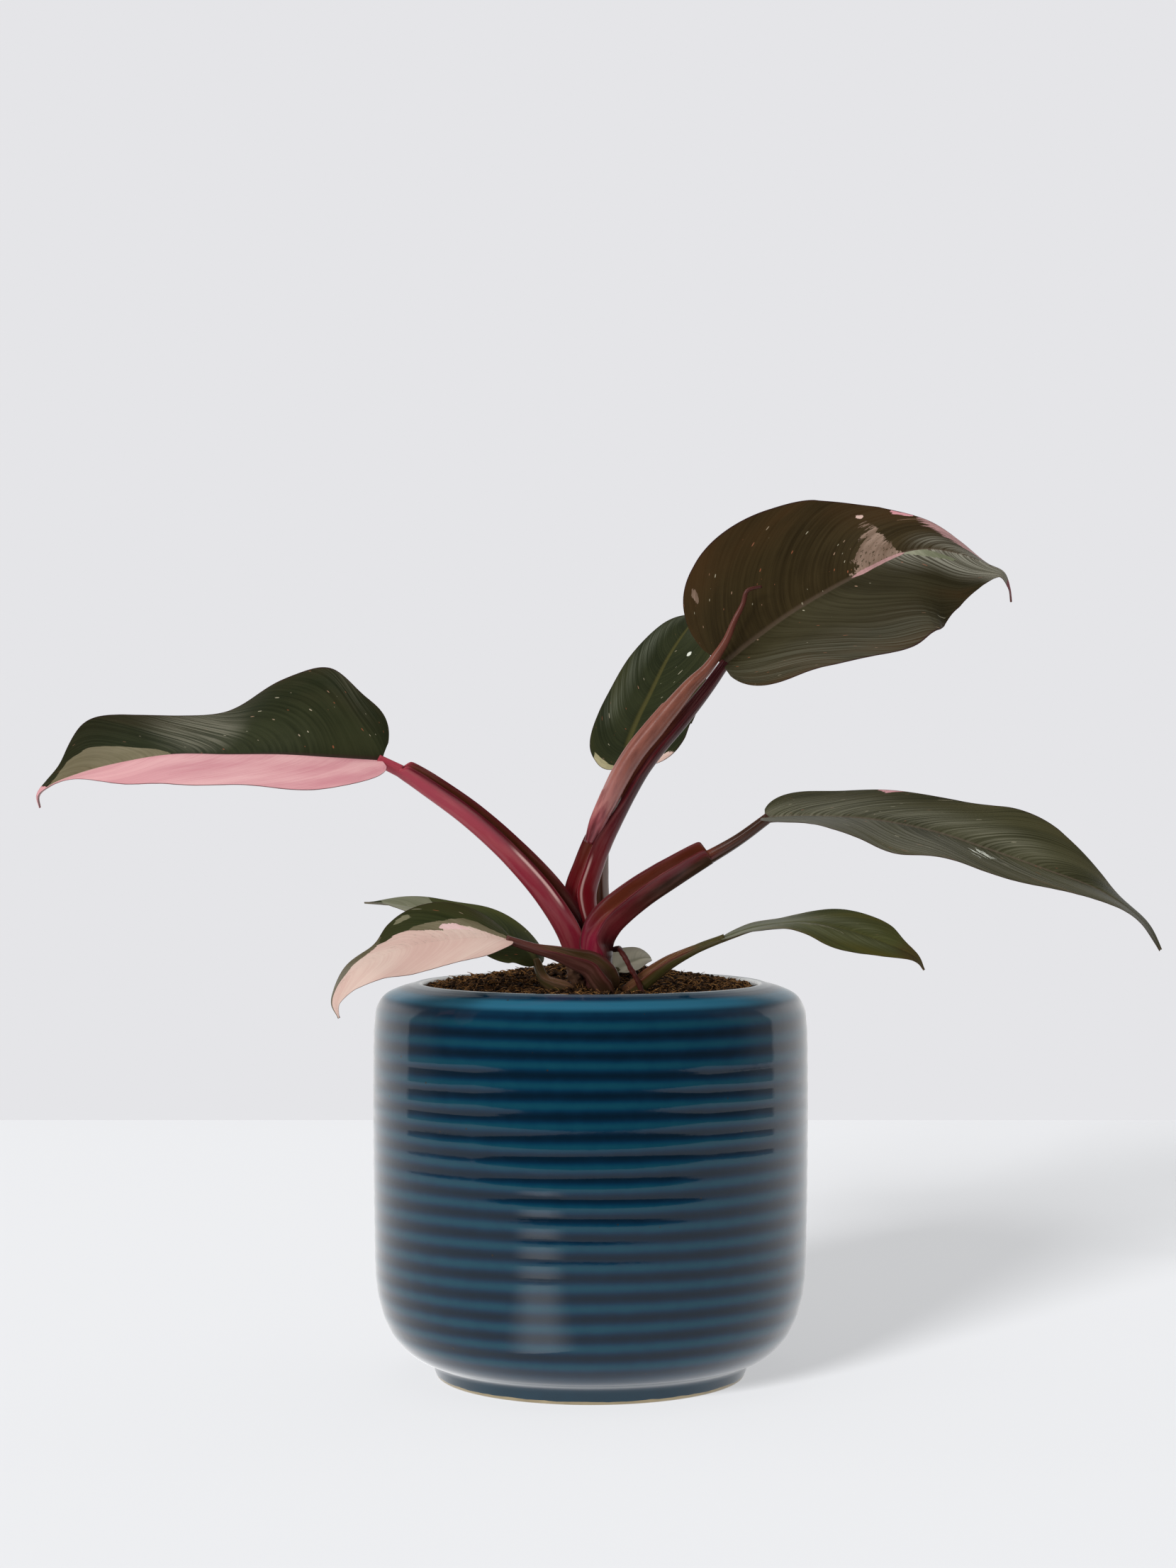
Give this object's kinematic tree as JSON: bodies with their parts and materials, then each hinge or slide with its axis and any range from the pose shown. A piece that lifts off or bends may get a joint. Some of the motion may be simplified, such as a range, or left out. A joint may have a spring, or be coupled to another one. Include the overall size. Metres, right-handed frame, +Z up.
{
  "type": "potted philodendron",
  "caption": "Young philodendron with pink variegated, long-stalked leaves, growing in soil in a ribbed glazed ceramic pot that stands on its flat foot.",
  "frame": {"origin": "middle of the pot's flat underside, on the surface that it stands on", "axes": "+Z up, -Y toward the side that the picture shows, +X to that viewer's right"},
  "size_m": [0.3767, 0.1677, 0.3058],
  "materials": {
    "glaze": "gloss",
    "soil": "matte",
    "stem": "satin",
    "crimson_stalk": "satin",
    "brown_stalk": "satin",
    "leaf": "satin",
    "new_leaf": "satin",
    "root": "satin"
  },
  "bodies": {
    "root": {"pot": "glaze", "soil": "soil", "stem": "stem", "petiole_top_right": "crimson_stalk", "blade_top_right": "leaf", "petiole_back": "brown_stalk", "blade_back": "leaf", "petiole_left": "crimson_stalk", "blade_left": "leaf", "petiole_right": "crimson_stalk", "blade_right": "leaf", "petiole_front_left": "brown_stalk", "blade_front_left": "leaf", "petiole_low_left": "brown_stalk", "blade_low_left": "leaf", "petiole_low_right": "brown_stalk", "blade_low_right": "leaf", "petiole_low_back": "brown_stalk", "blade_low_back": "leaf", "new_leaf": "new_leaf", "aerial_root": "root", "old_sheath": "new_leaf"}
  },
  "joints": []
}
